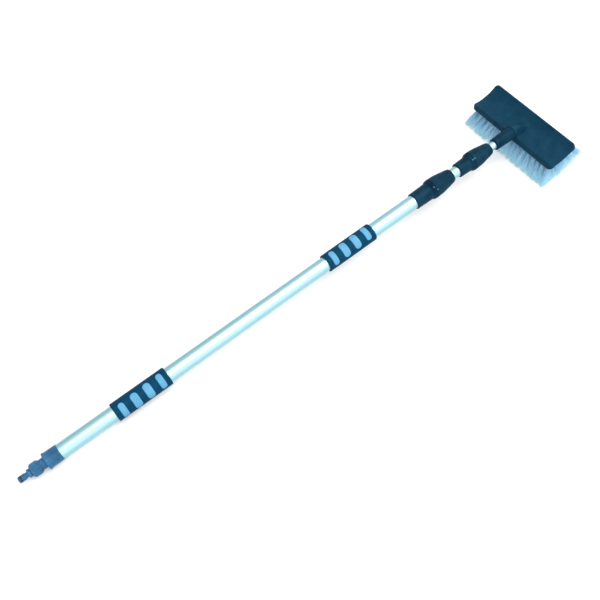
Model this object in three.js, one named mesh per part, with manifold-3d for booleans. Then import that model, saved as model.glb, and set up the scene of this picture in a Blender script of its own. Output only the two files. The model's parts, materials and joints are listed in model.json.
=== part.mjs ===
// Telescopic water-fed brush, lying as it rests on a floor.
//
// Three aluminium tubes slide in one another and are held by two twist locks. Water enters at
// a hose connector on the lower end, runs inside the tubes and leaves through the brush head.
// The pole is built along +X from the tip of the hose connector. It is then pitched, so that
// the rim of its end cap and the near row of bristles both touch the floor at z = 0.
// Lengths are in millimetres. A name that ends in Count, Degrees, Share or Shares is no length.

import * as THREE from 'three';
import { mergeVertices } from 'three/addons/utils/BufferGeometryUtils.js';
import Module from 'manifold-3d';

const wasm = await Module();
wasm.setup();

// Clearance between pieces, and how far a cutter runs past what it cuts
const gap = 0.3;
const overrun = 5;

// Tubes
const outerTubeDiameter = 30;
const tubeWall = 1.2;
const middleSlideSpace = 1.8;
const innerSlideSpace = 1.3;
const outerTubeLength = 896.5;
const middleTubeShowing = 17.5;
const innerTubeShowing = 14;

// Sealing rings and flat washers
const sealThickness = 1.6;
const washerThickness = 1.5;

// Hose adaptor: a push-on nipple and a ribbed screw collar in one
const nippleRadius = 6.2;
const nippleChamfer = 1.4;
const nippleRingStart = 4;
const nippleRingProud = 0.25;
const nippleBarrelEnd = 13.5;
const catchDepth = 1;
const catchSlope = 0.8;
const shoulderStart = 18.5;
const shoulderRise = 2.1;
const shoulderEnd = 24.5;
const nippleLength = 26;
const nippleBore = 3.6;
const collarLength = 18;
const collarWall = 2.8;
const collarChamfer = 2.4;
const collarTailLength = 2.5;
const collarTailDrop = 1.4;
const collarRibDepth = 0.5;

// End cap with its threaded spigot
const spigotRadius = 10.4;
const spigotShowing = 11;
const spigotInsert = 13;
const spigotBore = 7;
const spigotFluteDepth = 0.6;
const spigotFluteCount = 8;
const capLength = 29.5;
const capFloor = 5;
const capWall = 1.2;
const capTaper = 0.3;
const capRimLength = 3.5;
const capRimRise = 0.7;
const capFluteDepth = 0.4;
const capFluteCount = 6;
const plugLength = 14;
const plugWall = 3.3;

// Grips: a core with pads that show through the windows of a sleeve
const gripLength = 117;
const gripSpace = 0.5;
const coreWall = 1.5;
const sleeveWall = 1.2;
const sleeveCollar = 6;
const padProud = 0.2;
const windowPitch = 28;
const endWindowSpan = 36;
const endWindowWidth = 12.5;
const middleWindowSpan = 37;
const middleWindowWidth = 15.5;
const windowStaggerDegrees = -5;
const lowerGripDistance = 115.3;
const upperGripDistance = 112.3;
const lowerGripClockDegrees = 42;
const upperGripClockDegrees = 20;

// Twist locks: values that both locks share
const seamSpace = 0.6;
const lockSpigotLength = 17;
const lockSpigotWall = 1.4;
const seatLength = 12;
const seatRise = 1.8;
const colletTipWall = 0.9;
const colletStandOff = 0.6;
const colletFlange = 9;
const colletSlot = 1.6;
const colletBridge = 3;
const pocketSpace = 0.5;
const noseSpace = 0.5;
const nutRibDepth = 0.5;
const noseRounding = 1.2;
const seamFlange = 3;
const seamSlope = 5.5;
const bodyChamfer = 1;
const markLength = 3;
const markWidth = 2.4;
const markProud = 0.5;
const bodyMarkDegrees = 27;

// First lock, between the outer and the middle tube
const lockOneBodyLength = 49;
const lockOneSocket = 34;
const lockOneRearWall = 2.2;
const lockOneWaistRise = 0.9;
const lockOneSeamRise = 3;
const lockOneNutLength = 54.5;
const lockOneNutRise = 0.5;
const lockOneNoseWall = 3.1;
const lockOneNutMarkDegrees = 48;

// Second lock, between the middle and the inner tube
const lockTwoBodyLength = 36.5;
const lockTwoSocket = 22;
const lockTwoRearWall = 3.2;
const lockTwoWaistRise = 0.9;
const lockTwoSeamRise = 3.5;
const lockTwoNutLength = 54;
const lockTwoNutRise = 0.7;
const lockTwoNoseWall = 4;
const lockTwoNutMarkDegrees = 27;

// Guide plugs at the lower ends of the two sliding tubes
const guideHead = 14;
const guideSpigot = 20;
const guideWall = 2;
const guideRingStart = 5;

// Neck between the inner tube and the head
const neckLength = 50.2;
const neckSocket = 30;
const neckWall = 3.2;
const neckFlare = 1.2;
const neckBore = 6;
const neckSpigotRadius = 10.4;
const neckSpigotLength = 14;
const neckRingStart = 6;

// Head block. Across means from the near edge, at the pole, to the far edge.
const headLength = 232;
const headWidth = 73;
const rimWidth = 1.5;
const dishDepth = 11.5;
const blockHeight = 14;
const wallFlare = 2.6;
const cornerRadius = 9;
const shellWall = 3;
const rimBelowAxis = 5.8;
const hubOverhang = 0.8;
const neckAngleDegrees = 11.6;

// Hub fairing and the socket in it
const bossWall = 1.6;
const bossFloor = 3;
const hubWall = 4.5;
const hubNearInset = 3.6;
const hubFarInset = 21;
const hubFarWidth = 22;
const hubFarDrop = 10.5;
const hubFullShare = 0.8;
const hubSoftShare = 1.2;
const hubFallStartShare = 0.15;

// Tuft plate, its slats and its water holes
const plateThickness = 5;
const bellyDepth = 10;
const slatThickness = 2;
const slatEndMargin = 2;
const waterHoleRadius = 1.6;
const waterHolePitch = 24;
const waterHoleCount = 7;

// Bristles. The trim is the distance from the block's top rim to the plane of the tips, and
// the fan is how far the tips of an outer row stand out past the rim.
const trimDepth = 57.8;
const fanReach = 25;
const endFlare = 6;
const strandRadius = 1.6;
const strandTipRadius = 1.5;
const tuftRootSpread = 2;
const tuftTipSpread = 5;
const tuftEndMargin = 14;
const tuftCount = 17;
const strandCount = 3;
const strandSideCount = 3;

// Facets
const roundSideCount = 18;
const gripSideCount = 14;
const flutedSideCount = 24;
const smallSideCount = 12;
const windowStepCount = 2;
const arcStepCount = 5;
const cornerStepCount = 3;
const hubStepCount = 6;
const hubArcCount = 10;

// Radii and stations along the pole that follow from the sizes above
const outerRadius = outerTubeDiameter / 2;
const outerBore = outerRadius - tubeWall;
const middleRadius = outerBore - middleSlideSpace;
const middleBore = middleRadius - tubeWall;
const innerRadius = middleBore - innerSlideSpace;
const innerBore = innerRadius - tubeWall;

const collarEnd = nippleLength + collarLength;
const capStart = collarEnd + spigotShowing;
const capFloorEnd = capStart + capFloor;
const outerTubeStart = capFloorEnd + gap;
const outerTubeEnd = outerTubeStart + outerTubeLength;
const lockOneStart = outerTubeEnd - lockOneSocket;
const lockOneNutStart = lockOneStart + lockOneBodyLength + seamSpace;
const lockTwoStart = lockOneNutStart + lockOneNutLength + middleTubeShowing;
const lockTwoNutStart = lockTwoStart + lockTwoBodyLength + seamSpace;
const neckStart = lockTwoNutStart + lockTwoNutLength + innerTubeShowing;
const hubStart = neckStart + neckLength + gap;
const nearEdge = hubStart + hubOverhang;
const lowerGripStart = capStart + capLength + lowerGripDistance;
const upperGripStart = lockOneStart - upperGripDistance - gripLength;

const middleGuideStart = capFloorEnd + plugLength + gap;
const middleTubeStart = middleGuideStart + guideHead + gap;
const middleTubeEnd = lockTwoStart + lockTwoSocket;
const innerGuideStart = middleGuideStart + guideHead + guideSpigot + gap;
const innerTubeStart = innerGuideStart + guideHead + gap;
const innerTubeEnd = neckStart + neckSocket - gap - washerThickness - gap;

const radians = THREE.MathUtils.degToRad;

// Solids for joining and cutting

function toSolid(geometry) {
  const bare = geometry.clone();
  bare.deleteAttribute('normal');
  bare.deleteAttribute('uv');
  const merged = mergeVertices(bare);
  const mesh = new wasm.Mesh({
    numProp: 3,
    vertProperties: Float32Array.from(merged.attributes.position.array),
    triVerts: Uint32Array.from(merged.index.array),
  });
  return new wasm.Manifold(mesh);
}

function toGeometry(solid) {
  const mesh = solid.getMesh();
  const geometry = new THREE.BufferGeometry();
  geometry.setAttribute('position', new THREE.BufferAttribute(mesh.vertProperties, 3));
  geometry.setIndex(new THREE.BufferAttribute(mesh.triVerts, 1));
  geometry.computeVertexNormals();
  return geometry;
}

function joined(solids) {
  return solids.reduce((whole, solid) => whole.add(solid));
}

// A ring turned about +X. Its outline holds [along, radius] pairs: forward along the outside,
// then back along the inside.
function turnedGeometry(outline, sideCount) {
  const points = outline.map(([along, radius]) => new THREE.Vector2(radius, along));
  points.push(points[0].clone());
  return new THREE.LatheGeometry(points, sideCount).rotateZ(-Math.PI / 2);
}

function turned(outline, sideCount = roundSideCount) {
  return toSolid(turnedGeometry(outline, sideCount));
}

// The same with flutes: between two stations each point outside a radius sinks by a wave.
function fluted(outline, flutes, sideCount = roundSideCount) {
  const geometry = turnedGeometry(outline, sideCount);
  const place = geometry.attributes.position;
  const slack = gap / 4;
  for (const flute of flutes) {
    for (let index = 0; index < place.count; index += 1) {
      const along = place.getX(index);
      const radius = Math.hypot(place.getY(index), place.getZ(index));
      const within = along > flute.from - slack && along < flute.to + slack;
      if (within && radius > flute.outside) {
        const turn = Math.atan2(place.getZ(index), place.getY(index));
        const wave = (1 - Math.cos(flute.count * turn)) / 2;
        const shrink = (radius - flute.depth * wave) / radius;
        place.setY(index, place.getY(index) * shrink);
        place.setZ(index, place.getZ(index) * shrink);
      }
    }
  }
  return toSolid(geometry);
}

// A straight-sided body through rings of as many points each, counter-clockwise as seen from
// the end that it runs to.
function lofted(rings) {
  const size = rings[0].length;
  const places = rings.flat().flatMap((point) => [point.x, point.y, point.z]);
  const faces = [];
  for (let ring = 0; ring < rings.length - 1; ring += 1) {
    for (let step = 0; step < size; step += 1) {
      const next = (step + 1) % size;
      const low = ring * size;
      const high = low + size;
      faces.push(low + step, low + next, high + next, low + step, high + next, high + step);
    }
  }
  const last = (rings.length - 1) * size;
  for (let step = 1; step < size - 1; step += 1) {
    faces.push(0, step + 1, step, last, last + step, last + step + 1);
  }
  const geometry = new THREE.BufferGeometry();
  geometry.setAttribute('position', new THREE.Float32BufferAttribute(places, 3));
  geometry.setIndex(faces);
  return toSolid(geometry);
}

function tubeOutline(radius, wall, length) {
  return [[0, radius], [length, radius], [length, radius - wall], [0, radius - wall]];
}

// A sealing ring of six-sided section
function sealRing(innerEdge, thickness) {
  const half = thickness / 2;
  const sectionCount = 6;
  const outline = [];
  for (let step = 0; step < sectionCount; step += 1) {
    const turn = (2 * Math.PI * step) / sectionCount;
    outline.push([half - half * Math.cos(turn), innerEdge + half + half * Math.sin(turn)]);
  }
  return turned(outline, smallSideCount);
}

// Outline points of a groove that holds a sealing ring under an outer radius
function sealGroove(start, radius) {
  const end = start + sealThickness + 2 * gap;
  const floor = radius - sealThickness - gap;
  return [[start, radius], [start, floor], [end, floor], [end, radius]];
}

// Hose adaptor

const nippleRingSeat = nippleRadius + nippleRingProud - sealThickness - gap;
const nippleRingEnd = nippleRingStart + sealThickness + 2 * gap;

function makeHoseAdaptor() {
  const catchRadius = nippleRadius - catchDepth;
  const shoulderRadius = nippleRadius + shoulderRise;
  const waistRadius = shoulderRadius - catchDepth;
  const socketRadius = spigotRadius + gap;
  const collarRadius = socketRadius + collarWall;
  const tailStart = collarEnd - collarTailLength;
  const socketFloor = collarEnd - spigotInsert - gap - washerThickness - gap;
  return fluted([
    [0, nippleRadius - nippleChamfer],
    [nippleChamfer, nippleRadius],
    [nippleRingStart, nippleRadius],
    [nippleRingStart, nippleRingSeat],
    [nippleRingEnd, nippleRingSeat],
    [nippleRingEnd, nippleRadius],
    [nippleBarrelEnd, nippleRadius],
    [nippleBarrelEnd + catchSlope, catchRadius],
    [shoulderStart, catchRadius],
    [shoulderStart + catchSlope, shoulderRadius],
    [shoulderEnd, shoulderRadius],
    [shoulderEnd + catchSlope, waistRadius],
    [nippleLength, waistRadius],
    [nippleLength, collarRadius - collarChamfer],
    [nippleLength + collarChamfer, collarRadius],
    [tailStart, collarRadius],
    [tailStart, collarRadius - collarTailDrop],
    [collarEnd, collarRadius - collarTailDrop],
    [collarEnd, socketRadius],
    [socketFloor, socketRadius],
    [socketFloor, nippleBore],
    [0, nippleBore],
  ], [{
    from: nippleLength + collarChamfer,
    to: tailStart,
    outside: collarRadius - collarTailDrop / 2,
    depth: collarRibDepth,
    count: roundSideCount / 2,
  }]);
}

function makeHoseWasher() {
  return turned(
    tubeOutline(spigotRadius, spigotRadius - spigotBore, washerThickness), smallSideCount);
}

// End cap

const plugRadius = outerBore - gap;
const capRingStart = (plugLength - sealThickness) / 2;
const skirtRadius = outerRadius + gap + capWall;
const rimRadius = skirtRadius + capRimRise;

function makeEndCap() {
  const skirtStart = capRimLength + capRimRise;
  const spigotStart = -spigotShowing - spigotInsert;
  const plugBore = plugRadius - plugWall;
  return fluted([
    [spigotStart, spigotRadius - spigotFluteDepth],
    [spigotStart + spigotFluteDepth, spigotRadius],
    [-spigotShowing + gap, spigotRadius],
    [0, spigotRadius],
    [0, rimRadius - capRimRise],
    [capRimRise, rimRadius],
    [capRimLength, rimRadius],
    [skirtStart, skirtRadius],
    [capLength, skirtRadius - capTaper],
    [capLength, outerRadius + gap],
    [capFloor, outerRadius + gap],
    [capFloor, plugRadius],
    ...sealGroove(capFloor + capRingStart, plugRadius),
    [capFloor + plugLength, plugRadius],
    [capFloor + plugLength, plugBore],
    [capFloor, plugBore],
    [0, spigotBore],
    [spigotStart, spigotBore],
  ], [{
    from: -spigotShowing + gap, to: 0, outside: spigotRadius - gap,
    depth: spigotFluteDepth, count: spigotFluteCount,
  }, {
    from: skirtStart, to: capLength, outside: skirtRadius - capTaper - gap,
    depth: capFluteDepth, count: capFluteCount,
  }], flutedSideCount);
}

// Grips

const gripBore = outerRadius + gripSpace;
const coreTop = gripBore + coreWall;
const sleeveBore = coreTop + gap;
const sleeveRadius = sleeveBore + sleeveWall;
const padTop = sleeveRadius + padProud;

// A round-ended bar that bends round the pole, for a window or for the pad in it. Its span is
// measured along the curve of the pad's top.
function windowBar(along, span, width, clockDegrees, margin) {
  const half = width / 2 - margin;
  const straight = (span - width) / 2;
  const endRows = [];
  for (let step = 1; step <= windowStepCount; step += 1) {
    const turn = ((step - 1 / 2) / (windowStepCount - 1 / 2)) * (Math.PI / 2);
    endRows.push([straight + half * Math.cos(turn), half * Math.sin(turn)]);
  }
  const rows = [
    ...endRows.map(([round, side]) => [-round, side]), [0, half], ...endRows.toReversed(),
  ];
  const rings = rows.map(([round, side]) => {
    const turn = round / padTop + radians(clockDegrees);
    const corner = (x, radius) => new THREE.Vector3(
      x, -radius * Math.sin(turn), radius * Math.cos(turn));
    const [inside, outside] = [gripBore - overrun, padTop + overrun];
    return [
      corner(along - side, inside), corner(along + side, inside),
      corner(along + side, outside), corner(along - side, outside),
    ];
  });
  return lofted(rings);
}

// Four bars in a column on each side of the grip, the middle two larger. Each bar is turned a
// little further round the pole than the one before it.
const windowPlaceShares = [-1.5, -0.5, 0.5, 1.5];

function gripWindows(gripClockDegrees, margin) {
  const bars = [];
  for (const sideDegrees of [0, 180]) {
    for (const share of windowPlaceShares) {
      const atEnd = Math.abs(share) > 1;
      const span = atEnd ? endWindowSpan : middleWindowSpan;
      const width = atEnd ? endWindowWidth : middleWindowWidth;
      const along = gripLength / 2 + share * windowPitch;
      const clockDegrees = gripClockDegrees + sideDegrees + share * windowStaggerDegrees;
      bars.push(windowBar(along, span, width, clockDegrees, margin));
    }
  }
  return joined(bars);
}

function makeGripSleeve(clockDegrees) {
  const sleeve = turned([
    [0, sleeveRadius - sleeveWall / 2],
    [sleeveWall, sleeveRadius],
    [gripLength - sleeveWall, sleeveRadius],
    [gripLength, sleeveRadius - sleeveWall / 2],
    [gripLength, gripBore],
    [gripLength - sleeveCollar, gripBore],
    [gripLength - sleeveCollar, sleeveBore],
    [sleeveCollar, sleeveBore],
    [sleeveCollar, gripBore],
    [0, gripBore],
  ], gripSideCount);
  return sleeve.subtract(gripWindows(clockDegrees, 0));
}

function makeGripCore(clockDegrees) {
  const start = sleeveCollar + gap;
  const end = gripLength - sleeveCollar - gap;
  const ring = (top) => turned(
    [[start, top], [end, top], [end, gripBore], [start, gripBore]], gripSideCount);
  const pads = ring(padTop).intersect(gripWindows(clockDegrees, gap));
  return ring(coreTop).add(pads);
}

// Twist locks. A lock carries the thicker tube in its body and grips the thinner one.

function lockSizes(carried, sliding, own) {
  const seatTip = sliding + gap + colletTipWall + gap;
  const seatMouth = seatTip + seatRise;
  return {
    ...own,
    carried,
    passage: sliding + gap,
    seatTip,
    seatMouth,
    spigot: seatMouth + lockSpigotWall,
    rear: carried + gap + own.rearWall,
    waist: carried + gap + own.rearWall + own.waistRise,
    seam: carried + gap + own.rearWall + own.waistRise + own.seamRise,
    nutRear: carried + gap + own.rearWall + own.waistRise + own.seamRise + own.nutRise,
    nose: sliding + own.noseWall,
    noseHole: sliding + noseSpace,
  };
}

const lockOne = lockSizes(outerRadius, middleRadius, {
  bodyLength: lockOneBodyLength, socket: lockOneSocket, rearWall: lockOneRearWall,
  waistRise: lockOneWaistRise, seamRise: lockOneSeamRise, nutLength: lockOneNutLength,
  nutRise: lockOneNutRise, noseWall: lockOneNoseWall, nutClockDegrees: lockOneNutMarkDegrees,
});

const lockTwo = lockSizes(middleRadius, innerRadius, {
  bodyLength: lockTwoBodyLength, socket: lockTwoSocket, rearWall: lockTwoRearWall,
  waistRise: lockTwoWaistRise, seamRise: lockTwoSeamRise, nutLength: lockTwoNutLength,
  nutRise: lockTwoNutRise, noseWall: lockTwoNoseWall, nutClockDegrees: lockTwoNutMarkDegrees,
});

// A small raised mark beside the seam, which shows how far the nut is turned
function indexMark(along, radius, clockDegrees) {
  const mark = new THREE.BoxGeometry(markLength, markWidth, 2 * markProud + nutRibDepth);
  mark.translate(along, 0, radius - nutRibDepth / 2);
  mark.rotateX(radians(clockDegrees));
  return toSolid(mark);
}

function makeLockBody(lock) {
  const front = lock.bodyLength;
  const mouth = front + lockSpigotLength;
  const slopeStart = front - seamFlange - seamSlope;
  const body = turned([
    [0, lock.rear - bodyChamfer],
    [bodyChamfer, lock.rear],
    [slopeStart, lock.waist],
    [front - seamFlange, lock.seam],
    [front, lock.seam],
    [front, lock.spigot],
    [mouth, lock.spigot],
    [mouth, lock.seatMouth],
    [mouth - seatLength, lock.seatTip],
    [mouth - seatLength, lock.passage],
    [lock.socket + gap, lock.passage],
    [lock.socket + gap, lock.carried + gap],
    [0, lock.carried + gap],
  ]);
  return body.add(indexMark(front - seamSpace - markLength / 2, lock.seam, bodyMarkDegrees));
}

function makeLockNut(lock) {
  const bore = lock.spigot + gap;
  const boreEnd = lockSpigotLength - seamSpace + gap;
  const pocket = lock.seatMouth + pocketSpace;
  const pocketEnd = lockSpigotLength - seamSpace + colletStandOff + colletFlange + gap;
  const drop = lock.nutRear - lock.nose;
  const length = lock.nutLength;
  const crownShares = [[0, 0], [0.22, 0.07], [0.4, 0.18], [0.55, 0.38], [0.7, 0.58], [0.85, 0.77]];
  const ribShare = 0.7;
  const crown = crownShares.map(
    ([alongShare, dropShare]) => [length * alongShare, lock.nutRear - drop * dropShare]);
  const nut = fluted([
    ...crown,
    [length - noseRounding, lock.nose],
    [length, lock.nose - noseRounding],
    [length, lock.noseHole],
    [pocketEnd, lock.noseHole],
    [pocketEnd, pocket],
    [boreEnd, pocket],
    [boreEnd, bore],
    [0, bore],
  ], [{
    from: 0, to: length * ribShare, outside: bore + gap,
    depth: nutRibDepth, count: flutedSideCount / 2,
  }], flutedSideCount);
  return nut.add(indexMark(seamSpace + markLength / 2, lock.nutRear, lock.nutClockDegrees));
}

// The collet's tip lies in the body's seat, and its flange between the body and the nut.
function makeLockCollet(lock) {
  const tipRadius = lock.seatTip - gap + (seatRise * gap) / seatLength;
  const coneEnd = seatLength - gap;
  const flangeStart = coneEnd + colletStandOff;
  const end = flangeStart + colletFlange;
  const collet = turned([
    [0, tipRadius],
    [coneEnd, lock.seatMouth - gap],
    [flangeStart, lock.seatMouth - gap],
    [flangeStart, lock.seatMouth],
    [end, lock.seatMouth],
    [end, lock.passage],
    [0, lock.passage],
  ]);
  const slotLength = end - colletBridge + overrun;
  const slot = new THREE.BoxGeometry(slotLength, colletSlot, 2 * lock.spigot);
  slot.translate(slotLength / 2 - overrun, 0, 0);
  const crossSlot = slot.clone().rotateX(Math.PI / 2);
  return collet.subtract(toSolid(slot)).subtract(toSolid(crossSlot));
}

function colletStart(lock, lockStart) {
  return lockStart + lock.bodyLength + lockSpigotLength - seatLength + gap;
}

// Guide plug at the lower end of a sliding tube, under the bore that it runs in

function makeGuide(runningBore, tubeBore) {
  const head = runningBore - gap;
  const spigot = tubeBore - gap;
  const waterBore = spigot - guideWall;
  const length = guideHead + guideSpigot;
  return turned([
    [0, head],
    ...sealGroove(guideRingStart, head),
    [guideHead, head],
    [guideHead, spigot],
    [length, spigot],
    [length, waterBore],
    [0, waterBore],
  ]);
}

// Neck

const neckRadius = innerRadius + gap + neckWall;

function makeNeck() {
  const flared = neckRadius + neckFlare;
  const spigotEnd = neckLength + neckSpigotLength;
  return turned([
    [0, neckRadius - neckFlare],
    [neckFlare, neckRadius],
    [neckLength, flared],
    [neckLength, neckSpigotRadius],
    ...sealGroove(neckLength + neckRingStart, neckSpigotRadius),
    [spigotEnd, neckSpigotRadius],
    [spigotEnd, neckBore],
    [neckSocket, neckBore],
    [neckSocket, innerRadius + gap],
    [0, innerRadius + gap],
  ]);
}

// Head. Its own frame starts at the middle of the near top rim: +X across the block to the
// far edge, +Y along it, +Z square out of its back.

const head = new THREE.Group();
head.position.set(nearEdge, 0, -rimBelowAxis);
head.rotation.y = -radians(neckAngleDegrees);
head.updateMatrix();
const poleToHead = head.matrix.clone().invert();

const dishHalf = headWidth / 2 - rimWidth;
const dishRadius = (dishHalf ** 2 + dishDepth ** 2) / (2 * dishDepth);
const bellyHalf = headWidth / 2 + wallFlare - shellWall;
const bellyRadius = (bellyHalf ** 2 + bellyDepth ** 2) / (2 * bellyDepth);
const bellyCentre = bellyRadius - blockHeight - bellyDepth;
const bellyTurn = Math.asin(bellyHalf / bellyRadius);

// A rod along the pole's axis, in the head's frame
function poleRod(radius, start, end) {
  const rod = new THREE.CylinderGeometry(radius, radius, end - start, roundSideCount);
  rod.rotateZ(-Math.PI / 2).translate((start + end) / 2, 0, 0).applyMatrix4(poleToHead);
  return toSolid(rod);
}

// A flat shape in the plane across the head, drawn out along it
function alongHead(shape, length) {
  const bar = new THREE.ExtrudeGeometry(shape, {
    depth: length, bevelEnabled: false, curveSegments: arcStepCount,
  });
  bar.rotateX(Math.PI / 2).translate(0, length / 2, 0);
  return toSolid(bar);
}

// The rounded rectangle of the block at a level, drawn in by a margin
function blockRing(level, margin) {
  const flare = (-level / blockHeight) * wallFlare - margin;
  const radius = Math.max(cornerRadius - margin, gap);
  const near = -flare + radius;
  const far = headWidth + flare - radius;
  const side = headLength / 2 - margin - radius;
  const corners = [[far, side], [near, side], [near, -side], [far, -side]];
  return corners.flatMap(([across, along], corner) => {
    const points = [];
    for (let step = 0; step <= cornerStepCount; step += 1) {
      const turn = (corner + step / cornerStepCount) * (Math.PI / 2);
      const x = across + radius * Math.cos(turn);
      points.push(new THREE.Vector3(x, along + radius * Math.sin(turn), level));
    }
    return points;
  });
}

function blockRoom(lowest, margin) {
  return lofted([blockRing(lowest, margin), blockRing(0, margin)]);
}

// Everything under the dished back when that is lowered, with flat rims at a level
function underBack(lowered, rimLevel, lowest) {
  const radius = dishRadius + lowered;
  const halfTurn = Math.acos((dishRadius - dishDepth) / radius);
  const half = radius * Math.sin(halfTurn);
  const reach = half + wallFlare + overrun;
  const middle = headWidth / 2;
  const shape = new THREE.Shape();
  shape.moveTo(middle - reach, lowest);
  shape.lineTo(middle + reach, lowest);
  shape.lineTo(middle + reach, rimLevel);
  if (rimLevel > 0) shape.lineTo(middle + half, rimLevel);
  const start = -Math.PI / 2 + (rimLevel > 0 ? halfTurn : cutTurn(radius, rimLevel));
  shape.absarc(middle, dishRadius - dishDepth, radius, start, -Math.PI - start, true);
  if (rimLevel > 0) shape.lineTo(middle - half, rimLevel);
  shape.lineTo(middle - reach, rimLevel);
  return alongHead(shape, headLength + overrun);
}

// How far from its lowest point the dish's arc of a radius meets a level
function cutTurn(radius, level) {
  return Math.acos((dishRadius - dishDepth - level) / radius);
}

// A curved bar that follows the belly between two radii and two turns from its middle
function bellyBar(innerEdge, outerEdge, fromTurn, toTurn, length) {
  const down = -Math.PI / 2;
  const middle = headWidth / 2;
  const shape = new THREE.Shape();
  shape.absarc(middle, bellyCentre, outerEdge, down + fromTurn, down + toTurn, false);
  shape.absarc(middle, bellyCentre, innerEdge, down + toTurn, down + fromTurn, true);
  return alongHead(shape, length);
}

// The hub narrows and sinks from the collar round the neck, and melts into the back.
const hubSocket = neckSpigotRadius + gap;
const hubRadius = hubSocket + hubWall;

function hubBody(start, end, base, margin) {
  const slope = Math.tan(radians(neckAngleDegrees));
  const farEdge = headWidth - hubFarInset;
  const rings = [];
  for (let step = 0; step <= hubStepCount; step += 1) {
    const across = start + ((end - start) * step) / hubStepCount;
    const share = across / farEdge;
    const fall = THREE.MathUtils.smoothstep(share, hubFallStartShare, 1);
    const farHalf = hubFarWidth / 2;
    const half = farHalf + (hubRadius - farHalf) * (1 - share) ** 4 - margin;
    const nearTop = rimBelowAxis - slope * across + hubRadius;
    const top = nearTop + (-hubFarDrop - nearTop) * fall - margin;
    const ring = [new THREE.Vector3(across, half, base)];
    for (let arcStep = 0; arcStep <= hubArcCount; arcStep += 1) {
      const turn = (arcStep / hubArcCount) * Math.PI;
      const side = Math.sign(Math.cos(turn)) * Math.abs(Math.cos(turn)) ** hubFullShare;
      const rise = Math.abs(Math.sin(turn)) ** (hubFullShare + hubSoftShare * share);
      ring.push(new THREE.Vector3(across, half * side, -dishDepth + (top + dishDepth) * rise));
    }
    ring.push(new THREE.Vector3(across, -half, base));
    rings.push(ring);
  }
  return lofted(rings);
}

function makeHeadShell() {
  const bossEnd = hubStart + neckSpigotLength + gap + bossFloor;
  const ceiling = -dishDepth - shellWall;
  const block = blockRoom(-blockHeight, 0).intersect(underBack(0, overrun, ceiling * 2));
  const room = blockRoom(-blockHeight - overrun, shellWall)
    .intersect(underBack(shellWall, -shellWall, -blockHeight - 2 * overrun));
  const hubEnd = headWidth - hubFarInset;
  const hub = hubBody(hubNearInset, hubEnd, ceiling + shellWall / 2, 0);
  const hubRoom = hubBody(
    hubNearInset + shellWall, hubEnd - shellWall, ceiling - overrun, shellWall);
  const collar = poleRod(hubRadius, hubStart, nearEdge + hubNearInset + shellWall);
  return block.add(hub).add(collar).subtract(room).subtract(hubRoom)
    .add(poleRod(hubSocket + bossWall, hubStart, bossEnd))
    .subtract(poleRod(hubSocket, hubStart - overrun, bossEnd - bossFloor))
    .subtract(poleRod(neckBore, hubStart, bossEnd + overrun));
}

// Tuft plate, slats and bristles. Edges and rows are shares of the belly's half turn.

const slatEdgeShares = [[-0.93, -0.66], [-0.64, -0.1], [0.1, 0.64], [0.66, 0.93]];
const slatRowShares = [[-0.8], [-0.5, -0.2], [0.2, 0.5], [0.8]];
const rowTipShares = { 0.8: 1, 0.5: 0.55, 0.2: 0.18 };
const staggeredRowShare = 0.5;
const plateEdgeShare = 1.2;
const slatLength = headLength - 2 * (shellWall + gap + slatEndMargin);

function makeTuftPlate() {
  const side = plateEdgeShare * bellyTurn;
  let plate = blockRoom(-blockHeight - bellyDepth - overrun, shellWall + gap)
    .intersect(bellyBar(bellyRadius - plateThickness, bellyRadius, -side, side, headLength));
  const space = gap / bellyRadius;
  for (const [from, to] of slatEdgeShares) {
    plate = plate.subtract(bellyBar(
      bellyRadius - slatThickness - gap, bellyRadius + overrun,
      from * bellyTurn - space, to * bellyTurn + space, slatLength + 2 * gap));
  }
  for (let index = 0; index < waterHoleCount; index += 1) {
    const hole = new THREE.CylinderGeometry(
      waterHoleRadius, waterHoleRadius, trimDepth, smallSideCount / 2);
    hole.rotateX(Math.PI / 2);
    hole.translate(headWidth / 2, (index - (waterHoleCount - 1) / 2) * waterHolePitch, 0);
    plate = plate.subtract(toSolid(hole.translate(0, 0, -trimDepth / 2)));
  }
  return plate;
}

function strandRing(centre, radius) {
  const ring = [];
  for (let side = 0; side < strandSideCount; side += 1) {
    const turn = (2 * Math.PI * side) / strandSideCount;
    const corner = new THREE.Vector3(radius * Math.cos(turn), radius * Math.sin(turn), 0);
    ring.push(corner.add(centre));
  }
  return ring;
}

// One tuft: its strands stand apart at the root and further apart at the tips.
function tuft(root, tip) {
  const strands = [];
  for (let index = 0; index < strandCount; index += 1) {
    const turn = (2 * Math.PI * (index + 1 / 2)) / strandCount;
    const out = new THREE.Vector3(Math.cos(turn), Math.sin(turn), 0);
    const low = tip.clone().addScaledVector(out, tuftTipSpread);
    const high = root.clone().addScaledVector(out, tuftRootSpread);
    strands.push(lofted([strandRing(low, strandTipRadius), strandRing(high, strandRadius)]));
  }
  return strands;
}

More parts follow.
